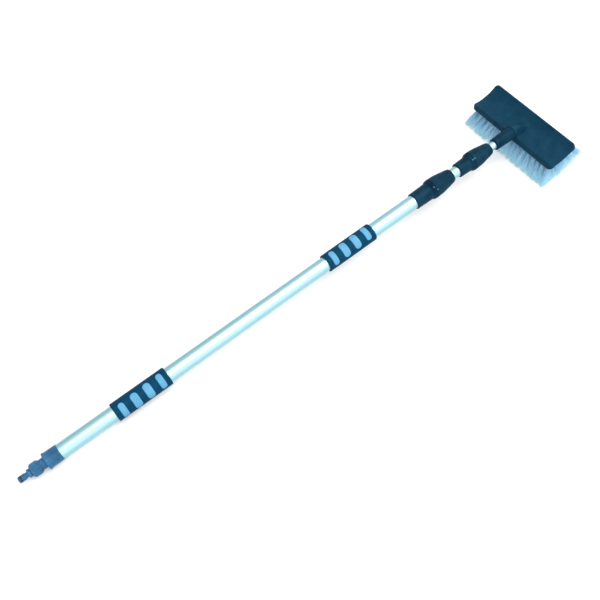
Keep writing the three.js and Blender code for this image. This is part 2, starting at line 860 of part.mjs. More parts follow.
function makeBristles(edges, rows) {
  const slat = bellyBar(bellyRadius - slatThickness, bellyRadius,
    edges[0] * bellyTurn, edges[1] * bellyTurn, slatLength);
  const middle = headWidth / 2;
  const rootDepth = bellyRadius - slatThickness / 2;
  const tipMargin = tuftTipSpread + strandTipRadius / 2;
  const tipReach = middle + fanReach - tipMargin;
  const rootSpan = headLength / 2 - tuftEndMargin;
  const tipSpan = headLength / 2 + endFlare - tipMargin;
  const strands = rows.flatMap((row) => {
    const turn = row * bellyTurn;
    const across = middle + rootDepth * Math.sin(turn);
    const level = bellyCentre - rootDepth * Math.cos(turn);
    const tipAcross = middle + Math.sign(row) * rowTipShares[Math.abs(row)] * tipReach;
    const staggered = Math.abs(row) === staggeredRowShare;
    const count = staggered ? tuftCount - 1 : tuftCount;
    const tufts = [];
    for (let index = 0; index < count; index += 1) {
      const place = (2 * index - (count - 1)) / (tuftCount - 1);
      const root = new THREE.Vector3(across, place * rootSpan, level);
      const tip = new THREE.Vector3(tipAcross, place * tipSpan, -trimDepth);
      tufts.push(...tuft(root, tip));
    }
    return tufts;
  });
  return slat.add(joined(strands));
}

// Materials

function finish(color, roughness, metalness) {
  return new THREE.MeshStandardMaterial({ color, roughness, metalness });
}

const navyPlastic = () => finish(0x1f4a63, 0.45, 0);
const sleevePlastic = () => finish(0x184a66, 0.6, 0);
const padPlastic = () => finish(0x8cc8e0, 0.55, 0);
const aluminium = () => finish(0xdfe8ea, 0.3, 1);
const sealRubber = () => finish(0x15191c, 0.8, 0);
const guidePlastic = () => finish(0xd8d8d0, 0.5, 0);
const bristleNylon = () => finish(0xb4d2e2, 0.6, 0);

// The whole brush

function place(parent, name, solid, material, along = 0) {
  const mesh = new THREE.Mesh(toGeometry(solid), material);
  mesh.name = name;
  mesh.position.x = along;
  parent.add(mesh);
}

const pole = new THREE.Group();

place(pole, 'hose_adaptor', makeHoseAdaptor(), navyPlastic());
place(pole, 'nipple_oring', sealRing(nippleRingSeat + gap, sealThickness), sealRubber(),
  nippleRingStart + gap);
place(pole, 'hose_washer', makeHoseWasher(), sealRubber(),
  collarEnd - spigotInsert - gap - washerThickness);
place(pole, 'end_cap', makeEndCap(), navyPlastic(), capStart);
place(pole, 'end_cap_oring', sealRing(plugRadius - sealThickness, sealThickness), sealRubber(),
  capStart + capFloor + capRingStart + gap);
place(pole, 'outer_tube', turned(tubeOutline(outerRadius, tubeWall, outerTubeLength)),
  aluminium(), outerTubeStart);
place(pole, 'lower_grip_core', makeGripCore(lowerGripClockDegrees), padPlastic(),
  lowerGripStart);
place(pole, 'lower_grip_sleeve', makeGripSleeve(lowerGripClockDegrees), sleevePlastic(),
  lowerGripStart);
place(pole, 'upper_grip_core', makeGripCore(upperGripClockDegrees), padPlastic(),
  upperGripStart);
place(pole, 'upper_grip_sleeve', makeGripSleeve(upperGripClockDegrees), sleevePlastic(),
  upperGripStart);

place(pole, 'lock_1_body', makeLockBody(lockOne), navyPlastic(), lockOneStart);
place(pole, 'lock_1_nut', makeLockNut(lockOne), navyPlastic(), lockOneNutStart);
place(pole, 'lock_1_collet', makeLockCollet(lockOne), guidePlastic(),
  colletStart(lockOne, lockOneStart));
place(pole, 'middle_guide', makeGuide(outerBore, middleBore), guidePlastic(),
  middleGuideStart);
place(pole, 'middle_guide_oring', sealRing(outerBore - gap - sealThickness, sealThickness),
  sealRubber(), middleGuideStart + guideRingStart + gap);
place(pole, 'middle_tube',
  turned(tubeOutline(middleRadius, tubeWall, middleTubeEnd - middleTubeStart)),
  aluminium(), middleTubeStart);

place(pole, 'lock_2_body', makeLockBody(lockTwo), navyPlastic(), lockTwoStart);
place(pole, 'lock_2_nut', makeLockNut(lockTwo), navyPlastic(), lockTwoNutStart);
place(pole, 'lock_2_collet', makeLockCollet(lockTwo), guidePlastic(),
  colletStart(lockTwo, lockTwoStart));
place(pole, 'inner_guide', makeGuide(middleBore, innerBore), guidePlastic(),
  innerGuideStart);
place(pole, 'inner_guide_oring', sealRing(middleBore - gap - sealThickness, sealThickness),
  sealRubber(), innerGuideStart + guideRingStart + gap);
place(pole, 'inner_tube',
  turned(tubeOutline(innerRadius, tubeWall, innerTubeEnd - innerTubeStart)),
  aluminium(), innerTubeStart);

place(pole, 'neck', makeNeck(), navyPlastic(), neckStart);
place(pole, 'neck_washer', turned(
  tubeOutline(innerRadius, innerRadius - neckBore, washerThickness), smallSideCount),
  sealRubber(), innerTubeEnd + gap);
place(pole, 'neck_oring', sealRing(neckSpigotRadius - sealThickness, sealThickness),
  sealRubber(), neckStart + neckLength + neckRingStart + gap);

place(head, 'head_shell', makeHeadShell(), navyPlastic());
place(head, 'tuft_plate', makeTuftPlate(), navyPlastic());
['near_bristles', 'near_inner_bristles', 'far_inner_bristles', 'far_bristles']
  .forEach((name, index) => {
    const bristles = makeBristles(slatEdgeShares[index], slatRowShares[index]);
    place(head, name, bristles, bristleNylon());
  });
pole.add(head);

// The brush rests on the end cap's rim and on the tips of the near row.
const nearTip = new THREE.Vector3(-fanReach, 0, -trimDepth).applyMatrix4(head.matrix);
const capTouch = capStart + capRimRise;
pole.rotation.y = -Math.atan2(-(nearTip.z + rimRadius), nearTip.x - capTouch);

const brush = new THREE.Group();
brush.add(pole);
const reach = new THREE.Box3().setFromObject(brush, true);
const centre = reach.getCenter(new THREE.Vector3());
pole.position.set(-centre.x, 0, -reach.min.z);

export default brush;
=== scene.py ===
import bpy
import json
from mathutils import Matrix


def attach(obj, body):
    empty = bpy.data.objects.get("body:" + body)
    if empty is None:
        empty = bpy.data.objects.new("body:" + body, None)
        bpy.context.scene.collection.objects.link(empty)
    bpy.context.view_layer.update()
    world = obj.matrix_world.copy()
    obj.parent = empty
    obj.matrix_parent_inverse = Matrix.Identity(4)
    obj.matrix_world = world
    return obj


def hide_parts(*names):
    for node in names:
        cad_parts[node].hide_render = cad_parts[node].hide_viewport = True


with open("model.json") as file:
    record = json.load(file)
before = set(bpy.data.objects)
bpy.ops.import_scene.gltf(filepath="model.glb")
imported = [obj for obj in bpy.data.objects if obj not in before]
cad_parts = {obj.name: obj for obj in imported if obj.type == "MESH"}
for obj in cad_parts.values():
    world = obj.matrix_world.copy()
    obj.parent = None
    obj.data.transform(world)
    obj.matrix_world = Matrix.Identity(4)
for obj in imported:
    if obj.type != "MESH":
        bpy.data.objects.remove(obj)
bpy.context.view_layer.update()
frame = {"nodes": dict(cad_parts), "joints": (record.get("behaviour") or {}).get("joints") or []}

import functools
import json
import math
import random

import bmesh
import bpy
from mathutils import Matrix, Vector, geometry

# The line of the pole
# Three tubes and their fittings share one straight axis, which rises a little towards the
# head. Pieces on it are laid out in millimetres from the tip of the hose nipple.

MM = 0.001
swivel = next(joint for joint in frame["joints"] if joint["name"] == "middle_tube_swivel")
hose_end = Vector(swivel["pos_m"])
along_pole = Vector(swivel["axis"])
across_pole = Vector((0, 1, 0))
up_from_pole = along_pole.cross(across_pole)
pole_turn = Matrix((along_pole, across_pole, up_from_pole)).transposed().to_4x4()
pole_pose = Matrix.Translation(hose_end) @ pole_turn


def at_clock(along, radius, clock):
    """The point at a station, a radius and an angle in radians from the top towards -Y."""
    return Vector((along, -radius * math.sin(clock), radius * math.cos(clock)))


# Hose adaptor
# A hard moulded nipple that a garden hose's click-on connector slides over and catches
# behind the shoulder. Its ribbed collar screws on the end cap's spigot by hand.

nipple_length = 26
nipple_radius = 6.2
nipple_bore = 3.6
nipple_chamfer = 1.4
ring_groove = (4, 6.2)
ring_groove_radius = 4.55
catch_start = 13.5
catch_end = 19.3
catch_slope = 0.8
catch_radius = 5.2
shoulder_end = 24.5
shoulder_radius = 8.3
waist_radius = 7.3
collar_end = 44
collar_radius = 13.5
collar_chamfer = 2.4
collar_tail = 2.5
collar_tail_drop = 1.4
collar_rib_count = 9
collar_rib_depth = 0.5
collar_rib_fades = (1, 0.8)
socket_floor = 28.9
socket_radius = 10.7
adaptor_outline = [
    (0, nipple_radius - nipple_chamfer), (nipple_chamfer, nipple_radius),
    (ring_groove[0], nipple_radius), (ring_groove[0], ring_groove_radius),
    (ring_groove[1], ring_groove_radius), (ring_groove[1], nipple_radius),
    (catch_start, nipple_radius), (catch_start + catch_slope, catch_radius),
    (catch_end - catch_slope, catch_radius), (catch_end, shoulder_radius),
    (shoulder_end, shoulder_radius), (shoulder_end + catch_slope, waist_radius),
    (nipple_length, waist_radius), (nipple_length, collar_radius - collar_chamfer),
    (nipple_length + collar_chamfer, collar_radius), (collar_end - collar_tail, collar_radius),
    (collar_end - collar_tail, collar_radius - collar_tail_drop),
    (collar_end, collar_radius - collar_tail_drop), (collar_end, socket_radius),
    (socket_floor, socket_radius), (socket_floor, nipple_bore), (0, nipple_bore),
]


def eased(outline, rounding, steps=3):
    """A closed outline with its corners rounded, as the edges of a moulding are."""
    corners = [Vector(corner) for corner in outline]
    points = []
    for index, corner in enumerate(corners):
        back = corners[index - 1] - corner
        ahead = corners[(index + 1) % len(corners)] - corner
        cut = min(rounding, 0.45 * back.length, 0.45 * ahead.length)
        start = corner + back.normalized() * cut
        end = corner + ahead.normalized() * cut
        for step in range(steps + 1):
            share = step / steps
            points.append(start.lerp(corner, share).lerp(corner.lerp(end, share), share))
    return points


def divided(outline, longest):
    """The same closed outline with its long stretches cut into shorter ones."""
    points = []
    for index, corner in enumerate(outline):
        following = outline[(index + 1) % len(outline)]
        count = max(1, math.ceil((following - corner).length / longest))
        points += [corner.lerp(following, step / count) for step in range(count)]
    return points


def turned(outline, sides=96, sink=None):
    """A ring about the pole from (station, radius) pairs. sink gives how far a point lies
    under its radius, from its station, radius and clock."""
    shape = bmesh.new()
    rows = []
    for side in range(sides):
        clock = math.tau * side / sides
        rows.append([
            shape.verts.new(at_clock(
                along, radius - (sink(along, radius, clock) if sink else 0), clock))
            for along, radius in outline
        ])
    for row, following in zip(rows, rows[1:] + rows[:1]):
        for index in range(len(outline)):
            shape.faces.new((row[index - 1], row[index], following[index], following[index - 1]))
    return shape


def made(name, shape, pose, sharp_degrees=40):
    """The object of a shape given in millimetres and brought to its pose, smooth but for its
    sharp edges."""
    bmesh.ops.recalc_face_normals(shape, faces=shape.faces)
    for face in shape.faces:
        face.smooth = True
    for edge in shape.edges:
        if len(edge.link_faces) == 2:
            edge.smooth = edge.calc_face_angle() < math.radians(sharp_degrees)
    bmesh.ops.transform(shape, matrix=pose @ Matrix.Scale(MM, 4), verts=shape.verts)
    mesh = bpy.data.meshes.new(name)
    shape.to_mesh(mesh)
    shape.free()
    thing = bpy.data.objects.new(name, mesh)
    bpy.context.scene.collection.objects.link(thing)
    return thing


def fade(value, start, end):
    """0 before start and 1 after end, and the other way round where end comes first."""
    share = min(max((value - start) / (end - start), 0), 1)
    return share * share * (3 - 2 * share)


class Signal:
    """One output of a material's nodes. Sums on it add Math nodes, and node adds any other."""

    def __init__(self, socket):
        self.socket = socket

    def node(self, kind, settings, inputs, output=0):
        """Add a node: its settings first, then a value or a signal for each input."""
        tree = self.socket.id_data
        made_node = tree.nodes.new("ShaderNode" + kind)
        for name, setting in settings.items():
            setattr(made_node, name, setting)
        for key, value in inputs.items():
            if isinstance(value, Signal):
                tree.links.new(value.socket, made_node.inputs[key])
            else:
                made_node.inputs[key].default_value = value
        return Signal(made_node.outputs[output])

    def maths(self, operation, left, right):
        return self.node("Math", {"operation": operation}, {0: left, 1: right})

    def __add__(self, other):
        return self.maths("ADD", self, other)

    __radd__ = __add__

    def __sub__(self, other):
        return self.maths("SUBTRACT", self, other)

    def __rsub__(self, other):
        return self.maths("SUBTRACT", other, self)

    def __mul__(self, other):
        return self.maths("MULTIPLY", self, other)

    __rmul__ = __mul__

    def clouds(self, stretch, detail=2.0):
        """Noise over the surface, with features of a size along each axis, in metres."""
        scale = tuple(1 / size for size in stretch)
        place = self.node("Mapping", {}, {"Vector": self, "Scale": scale})
        return place.node("TexNoise", {}, {"Vector": place, "Scale": 1.0, "Detail": detail})

    def between(self, low, high):
        """This signal with low..high brought to 0..1, and held there."""
        return self.node("MapRange", {"clamp": True}, {
            "Value": self, "From Min": low, "From Max": high})

    def tint(self, first, second):
        """The first colour where the signal is 0 and the second where it is 1."""
        return self.node("Mix", {"data_type": "RGBA"}, {
            0: self, 6: first if isinstance(first, Signal) else (*first, 1.0),
            7: (*second, 1.0)}, 2)


def surface(name, steady, paint):
    """A material: steady holds the shader's constant sockets, and paint gives the others
    from the place on the piece."""
    material = bpy.data.materials.new(name)
    material.use_nodes = True
    tree = material.node_tree
    shader = tree.nodes["Principled BSDF"]
    for socket, value in steady.items():
        shader.inputs[socket].default_value = value
    place = Signal(tree.nodes.new("ShaderNodeTexCoord").outputs["Object"])
    for socket, signal in paint(place).items():
        tree.links.new(signal.socket, shader.inputs[socket])
    return material


def moulded(name, deep, pale, roughness, shine=0.1):
    """Moulded plastic: cloudy pigment, scuffs that have gone pale, and a fine grain."""
    def paint(place):
        pigment = place.clouds((0.02, 0.02, 0.02)).between(0.3, 0.7)
        flecks = place.clouds((0.0012, 0.0012, 0.0012), 1.0).between(0.35, 0.65)
        scuffs = place.clouds((0.012, 0.0022, 0.0022), 4.0).between(0.63, 0.75)
        colour = (pigment * 0.7 + flecks * 0.3).tint(deep, pale)
        worn = (scuffs * 0.35).tint(colour, tuple(min(1, part * 1.6 + 0.02) for part in pale))
        grain = place.clouds((0.0006, 0.0006, 0.0006), 1.0)
        return {
            "Base Color": worn,
            "Roughness": roughness + 0.12 * (pigment - 0.5) + 0.1 * scuffs,
            "Normal": grain.node("Bump", {}, {
                "Height": grain, "Strength": 0.6, "Distance": 0.00003}),
        }
    return surface(name, {
        "Specular IOR Level": shine, "Specular Tint": (0.45, 0.85, 1.0, 1.0)}, paint)


fitting_plastic = moulded("fitting_plastic", (0.010, 0.062, 0.150), (0.042, 0.165, 0.330), 0.24,
                          0.6)


def collar_ribs(along, radius, clock):
    """How deep a point of the collar lies in the hollows between its ribs."""
    if radius < collar_radius - collar_tail_drop / 2:
        return 0
    low = nipple_length + collar_chamfer
    high = collar_end - collar_tail
    hollow = (0.5 + 0.5 * math.cos(collar_rib_count * clock)) ** 3
    on_collar = (fade(along, low, low + collar_rib_fades[0])
                 * fade(along, high, high - collar_rib_fades[1]))
    return collar_rib_depth * hollow * on_collar


adaptor = made("adaptor_moulding", turned(
    divided(eased(adaptor_outline, rounding=0.35), longest=1.2), sides=144,
    sink=collar_ribs), pole_pose)
adaptor.data.materials.append(fitting_plastic)
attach(adaptor, "handle")
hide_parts("hose_adaptor")

# Sealing rings and washers
# Black rubber rings in the grooves of the nipple, the plugs and the neck, pressed in by
# hand. Only the nipple's ring shows; the rest seal the joints inside.


def soft_black(place):
    bloom = place.clouds((0.006, 0.006, 0.006)).between(0.4, 0.75)
    pores = place.clouds((0.0004, 0.0004, 0.0004), 1.0)
    return {
        "Base Color": bloom.tint((0.012, 0.013, 0.014), (0.035, 0.038, 0.041)),
        "Roughness": 0.55 + 0.25 * bloom,
        "Normal": pores.node("Bump", {}, {"Height": pores, "Strength": 0.5, "Distance": 0.00002}),
    }


seal_rubber = surface("seal_rubber", {"Specular IOR Level": 0.4}, soft_black)
ring_middle = sum(ring_groove) / 2
ring_radius = 5.65
ring_thickness = 1.6
ring_steps = 16
ring_outline = [
    Vector((ring_middle + ring_thickness / 2 * math.cos(turn),
            ring_radius + ring_thickness / 2 * math.sin(turn)))
    for turn in (math.tau * step / ring_steps for step in range(ring_steps))
]
nipple_ring = made("nipple_seal", turned(ring_outline, sides=72), pole_pose)
nipple_ring.data.materials.append(seal_rubber)
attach(nipple_ring, "handle")
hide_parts("nipple_oring")
for node in ("hose_washer", "end_cap_oring", "middle_guide_oring", "inner_guide_oring",
             "neck_washer", "neck_oring"):
    frame["nodes"][node].material_slots[0].material = seal_rubber

# End cap
# A hard moulded cap pressed over the outer tube's end, with a plug inside the tube. Six
# broad flats on its skirt hold it while a hose fitting is screwed on its grooved spigot.

cap_length = 29.5
cap_floor = 5
cap_flat_count = 6
cap_flat_depth = 0.4
rim_length = 3.5
rim_radius = 17.2
rim_chamfer = 0.7
skirt_radius = 16.2
skirt_bore = 15.3
plug_end = 19
plug_radius = 13.5
plug_bore = 10.2
plug_groove = (11.2, 13.4)
plug_groove_radius = 11.6
spigot_length = 24
spigot_radius = 10.4
spigot_bore = 7
spigot_chamfer = 0.6
spigot_groove_count = 8
spigot_groove_depth = 0.6
spigot_groove_fade = 1.4


def stations(node):
    """Where a solid of the frame starts and ends along the pole."""
    solid = frame["nodes"][node].data
    places = [along_pole.dot(vert.co - hose_end) / MM for vert in solid.vertices]
    return min(places), max(places)


cap_start = stations("end_cap")[0] + spigot_length
cap_outline = [(cap_start + along, radius) for along, radius in [
    (-spigot_length, spigot_radius - spigot_chamfer),
    (-spigot_length + spigot_chamfer, spigot_radius), (0, spigot_radius),
    (0, rim_radius - rim_chamfer), (rim_chamfer, rim_radius), (rim_length, rim_radius),
    (rim_length + rim_chamfer, rim_radius - rim_chamfer), (cap_length, skirt_radius),
    (cap_length, skirt_bore), (cap_floor, skirt_bore), (cap_floor, plug_radius),
    (plug_groove[0], plug_radius), (plug_groove[0], plug_groove_radius),
    (plug_groove[1], plug_groove_radius), (plug_groove[1], plug_radius),
    (plug_end, plug_radius), (plug_end, plug_bore), (cap_floor, plug_bore),
    (0, spigot_bore), (-spigot_length, spigot_bore),
]]


def cap_flats(along, radius, clock):
    """How deep a point of the cap lies under its flats or in its spigot's grooves."""
    past = along - cap_start
    if past > 0 and radius > skirt_radius - cap_flat_depth / 2:
        aside = 2 * ((cap_flat_count * clock / math.tau + 0.5) % 1) - 1
        on_skirt = fade(past, rim_length, rim_length + rim_chamfer)
        return cap_flat_depth * (1 - aside * aside) * on_skirt
    if past < 0 and abs(radius - spigot_radius) < spigot_groove_depth:
        groove = (0.5 - 0.5 * math.cos(spigot_groove_count * clock)) ** 3
        low = spigot_chamfer - spigot_length
        on_spigot = fade(past, low, low + spigot_groove_fade) * fade(past, 0, -spigot_chamfer)
        return spigot_groove_depth * groove * on_spigot
    return 0


cap = made("end_cap_moulding", turned(
    divided(eased(cap_outline, rounding=0.4), longest=1.6), sides=144,
    sink=cap_flats), pole_pose)
cap.data.materials.append(fitting_plastic)
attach(cap, "handle")
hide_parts("end_cap")

# Tubes
# Three drawn aluminium tubes, satin anodised, one sliding in the next. Drawing leaves fine
# lines along them, and sliding through the locks leaves fine scratches.

tube_wall = 1.2
tubes = [("outer_tube", 15, "handle"), ("middle_tube", 12, "middle_section"),
         ("inner_tube", 9.5, "inner_section")]


def drawn_metal(place):
    pitch = math.atan2(along_pole.z, along_pole.x)
    place = place.node("Mapping", {}, {"Vector": place, "Rotation": (0, pitch, 0)})
    lines = place.clouds((0.35, 0.0005, 0.0005), 3.0).between(0.3, 0.7)
    scratches = place.clouds((0.08, 0.0003, 0.0003), 2.0).between(0.66, 0.74)
    cloud = place.clouds((0.12, 0.02, 0.02)).between(0.3, 0.7)
    colour = (lines * 0.6 + cloud * 0.4).tint((0.46, 0.78, 0.85), (0.58, 0.88, 0.93))
    return {
        "Base Color": (scratches * 0.3).tint(colour, (0.55, 0.68, 0.70)),
        "Roughness": 0.36 + 0.1 * (lines - 0.5) + 0.12 * scratches,
        "Normal": lines.node("Bump", {}, {
            "Height": lines - scratches * 0.5, "Strength": 0.35, "Distance": 0.00001}),
    }


tube_aluminium = surface("tube_aluminium", {"Metallic": 1.0}, drawn_metal)
for node, radius, body in tubes:
    start, end = stations(node)
    outline = eased([(start, radius), (end, radius), (end, radius - tube_wall),
                     (start, radius - tube_wall)], rounding=0.3)
    tube = made(node + "_drawn", turned(divided(outline, longest=40)), pole_pose)
    tube.data.materials.append(tube_aluminium)
    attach(tube, body)
    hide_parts(node)

# Grips
# A hard sleeve, pushed on the outer tube, with four round-ended windows on each side. The
# pale pads of a softer core fill the windows and stand a little proud of the sleeve.

grip_length = 117
grip_bore = 15.5
core_top = 17
sleeve_bore = 17.3
sleeve_radius = 18.5
sleeve_collar = 6
sleeve_rounding = (1.2, 0.6)
pad_top = 18.7
pad_space = 0.3
pad_rounding = 0.5
pad_crown = 0.12
pad_root = 0.3
window_pitch = 28
window_stagger_degrees = -5
window_rim = 0.5
small_window = (36, 12.5)
large_window = (37, 15.5)
windows = [(-1.5, small_window), (-0.5, large_window), (0.5, large_window), (1.5, small_window)]
grips = [("lower_grip", 42), ("upper_grip", 20)]
grip_columns = 120
grip_row_pitch = 1.5
grip_point_space = 0.6


def bar_outline(span, width, margin):
    """A round-ended bar, as (round the pole, along it) pairs from its middle."""
    least_half = 0.001
    half = max(width / 2 - margin, least_half)
    straight = (span - width) / 2
    arc_steps, edge_steps = 10, 9
    points = []
    for end in (1, -1):
        for step in range(arc_steps + 1):
            turn = math.pi * (step / arc_steps - 0.5)
            points.append((end * (straight + half * math.cos(turn)), end * half * math.sin(turn)))
        for step in range(1, edge_steps):
            points.append((end * straight * (1 - 2 * step / edge_steps), end * half))
    return points


class GripLayout:
    """Where a grip's windows are, on the sleeve laid out flat: round the pole, then along."""

    def __init__(self, start, clock_degrees):
        self.start = start
        self.seam = math.radians(clock_degrees + 90) * pad_top
        self.bars = [
            (math.radians(clock_degrees + side + place * window_stagger_degrees) * pad_top,
             grip_length / 2 + place * window_pitch, size)
            for side in (180, 360) for place, size in windows
        ]

    def wrapped(self, flat_point, radius):
        """The point of the layout on a cylinder about the pole."""
        return at_clock(self.start + flat_point[1], radius, flat_point[0] / pad_top)

    def outline(self, bar, margin):
        """The outline of a window, drawn in by a margin."""
        middle, along, size = bar
        return [Vector((middle + round_pole, along + side))
                for round_pole, side in bar_outline(*size, margin)]

    def in_window(self, flat_point, margin):
        """Whether a point lies in any window drawn in by a margin."""
        for middle, along, (span, width) in self.bars:
            past = max(abs(flat_point[0] - middle) - (span - width) / 2, 0)
            if math.hypot(past, flat_point[1] - along) < width / 2 - margin:
                return True
        return False


def add_loops(shape, loops):
    """Faces between closed loops of as many points each, in order."""
    rows = [[shape.verts.new(point) for point in loop] for loop in loops]
    for row, following in zip(rows, rows[1:]):
        for index in range(len(row)):
            shape.faces.new((row[index - 1], row[index], following[index], following[index - 1]))


def add_sheet(shape, layout, low, high, radius, margin):
    """A piece of a cylinder between two stations, with the windows cut out of it."""
    round_step = math.tau * pad_top / grip_columns
    row_count = round((high - low) / grip_row_pitch)
    points, edges = [], []
    for row in range(row_count + 1):
        along = low + (high - low) * row / row_count
        for column in range(grip_columns + 1):
            point = Vector((layout.seam + column * round_step, along))
            if not layout.in_window(point, margin - grip_point_space):
                points.append(point)
    for bar in layout.bars:
        loop = layout.outline(bar, margin)
        first = len(points)
        points += loop
        edges += [(first + index, first + (index + 1) % len(loop)) for index in range(len(loop))]
    all_triangles, merge_distance = 0, 0.0001
    flat_points, _, faces, *_ = geometry.delaunay_2d_cdt(
        points, edges, [], all_triangles, merge_distance)
    verts = [shape.verts.new(layout.wrapped(point, radius)) for point in flat_points]
    for face in faces:
        middle = sum((flat_points[index] for index in face), Vector((0, 0))) / len(face)
        if not layout.in_window(middle, margin):
            shape.faces.new([verts[index] for index in face])


def quarter_arc(count):
    """The sine and cosine of some turns from 0 to a quarter, both ends with them."""
    turns = (math.pi / 2 * step / (count - 1) for step in range(count))
    return [(math.sin(turn), math.cos(turn)) for turn in turns]


def sleeve_shape(layout):
    """The sleeve's two skins with the windows, its rounded ends and the windows' rims."""
    shape = bmesh.new()
    end_run, end_drop = sleeve_rounding
    add_sheet(shape, layout, end_run, grip_length - end_run, sleeve_radius, -window_rim)
    add_sheet(shape, layout, sleeve_collar, grip_length - sleeve_collar, sleeve_bore, 0)
    profile = [(end_run * (1 - sine), sleeve_radius - end_drop * (1 - cosine))
               for sine, cosine in quarter_arc(5)]
    profile += [(0, grip_bore), (sleeve_collar, grip_bore), (sleeve_collar, sleeve_bore)]
    columns = [layout.seam + math.tau * pad_top * column / grip_columns
               for column in range(grip_columns)]
    for end in (False, True):
        add_loops(shape, [
            [layout.wrapped((column, grip_length - along if end else along), radius)
             for column in columns]
            for along, radius in profile
        ])
    for bar in layout.bars:
        loops = [(-window_rim * (1 - sine), sleeve_radius - window_rim * (1 - cosine))
                 for sine, cosine in quarter_arc(4)]
        loops.append((0, sleeve_bore))
        add_loops(shape, [[layout.wrapped(point, radius) for point in layout.outline(bar, margin)]
                          for margin, radius in loops])
    bmesh.ops.remove_doubles(shape, verts=shape.verts, dist=0.004)
    return shape


def core_shape(layout):
    """The core's ring with its pads, whose edges are rounded and whose tops are crowned."""
    ends = (layout.start + sleeve_collar + pad_space,
            layout.start + grip_length - sleeve_collar - pad_space)
    shape = turned(divided(eased([
        (ends[0], core_top), (ends[1], core_top), (ends[1], grip_bore), (ends[0], grip_bore),
    ], rounding=0.3), longest=8))
    for bar in layout.bars:
        half = bar[2][1] / 2 - pad_space
        profile = [(0, core_top - pad_root)]
        profile += [(pad_rounding * (1 - cosine), pad_top - pad_rounding * (1 - sine))
                    for sine, cosine in quarter_arc(4)]
        profile += [(half * share, pad_top + pad_crown * math.sin(share * math.pi / 2))
                    for share in (0.3, 0.5, 0.7, 0.85, 1)]
        add_loops(shape, [
            [layout.wrapped(point, radius) for point in layout.outline(bar, pad_space + inset)]
            for inset, radius in profile
        ])
        add_loops(shape, [
            [layout.wrapped(point, core_top - pad_root)
             for point in layout.outline(bar, pad_space + half * share)] for share in (0, 0.5, 1)
        ])
    bmesh.ops.remove_doubles(shape, verts=shape.verts, dist=0.02)
    return shape


sleeve_plastic = moulded("sleeve_plastic", (0.001, 0.038, 0.085), (0.003, 0.052, 0.112), 0.55)
pad_plastic = moulded("pad_plastic", (0.105, 0.330, 0.540), (0.140, 0.400, 0.610), 0.6)
for name, clock_degrees in grips:
    layout = GripLayout(stations(name + "_sleeve")[0], clock_degrees)
    sleeve = made(name + "_shell", sleeve_shape(layout), pole_pose)
    sleeve.data.materials.append(sleeve_plastic)
    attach(sleeve, "handle")
    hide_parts(name + "_sleeve")
    core = made(name + "_pads", core_shape(layout), pole_pose)
    core.data.materials.append(pad_plastic)
    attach(core, "handle")
    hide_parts(name + "_core")

# Twist locks
# A moulded body pressed on the end of the thicker tube, and a ribbed nut that is turned by
# hand. The nut drives a slotted collet into the body's cone, which grips the thinner tube.

lock_spigot_length = 17
seat_length = 12
rear_chamfer = 1
seam_band = 3
waist_length = 8.5
seam_space = 0.6
mark_length = 3
mark_width = 2.4
mark_proud = 0.5
mark_rounding = 0.35
body_mark_degrees = 27
nut_crown_shares = [(0, 0), (0.22, 0.07), (0.4, 0.18), (0.55, 0.38), (0.7, 0.58),
                    (0.85, 0.77)]
nut_rib_count = 12
nut_rib_depth = 0.5
nut_rib_start_shares = (0.04, 0.1)
nut_rib_end_shares = (0.75, 0.6)
nut_skin = 1
nut_clearance = 0.3
nut_thread_end = 16.7
collet_pocket_end = 26.2
collet_clearance = 0.5
nose_chamfer = 1.2
locks = [
    {
        "name": "lock_1", "bodies": ("handle", "lock_1_turn"),
        "length": 49, "rear": 17.5, "waist": 18.4, "seam": 21.4, "spigot": 16.7,
        "seat": (13.5, 15.3), "passage": 12.3, "socket": 34.3, "tube_bore": 15.3,
        "nut_length": 54.5, "nut_rear": 21.9, "nose": 15.1, "nose_hole": 12.5,
        "nut_mark_degrees": 48,
    },
    {
        "name": "lock_2", "bodies": ("middle_section", "lock_2_turn"),
        "length": 36.5, "rear": 15.5, "waist": 16.4, "seam": 19.9, "spigot": 14.2,
        "seat": (11, 12.8), "passage": 9.8, "socket": 22.3, "tube_bore": 12.3,
        "nut_length": 54, "nut_rear": 20.6, "nose": 13.5, "nose_hole": 10,
        "nut_mark_degrees": 27,
    },
]
# The index marks are a paler plastic than the lock, partly their own tone and partly a painted
# highlight for the glints on the small bars.
mark_plastic_painted_glint = moulded("mark_plastic_painted_glint", (0.055, 0.210, 0.300), (0.085, 0.270, 0.370), 0.5)
lock_plastic = moulded("lock_plastic", (0.001, 0.012, 0.032), (0.006, 0.042, 0.076), 0.34)


def index_mark(along, radius, clock_degrees):
    """A small raised bar beside the seam, which shows how far the nut is turned."""
    shape = bmesh.new()
    depth = 2 * mark_proud
    size = Matrix.Diagonal((mark_length, mark_width, depth * 2, 1))
    place = Matrix.Rotation(math.radians(clock_degrees), 4, "X") @ Matrix.Translation(
        (along, 0, radius + mark_proud - depth))
    block = bmesh.ops.create_cube(shape, size=1, matrix=place @ size)["verts"]
    edges = list({edge for vert in block for edge in vert.link_edges})
    bmesh.ops.bevel(shape, geom=edges, offset=mark_rounding, segments=3, profile=0.5,
                    affect="EDGES")
    return shape


def lock_body_outline(lock):
    front = lock["length"]
    mouth = front + lock_spigot_length
    return [(lock["start"] + along, radius) for along, radius in [
        (0, lock["rear"] - rear_chamfer), (rear_chamfer, lock["rear"]),
        (front - waist_length, lock["waist"]), (front - seam_band, lock["seam"]),
        (front, lock["seam"]), (front, lock["spigot"]), (mouth, lock["spigot"]),
        (mouth, lock["seat"][1]), (mouth - seat_length, lock["seat"][0]),
        (mouth - seat_length, lock["passage"]), (lock["socket"], lock["passage"]),
        (lock["socket"], lock["tube_bore"]), (0, lock["tube_bore"]),
    ]]


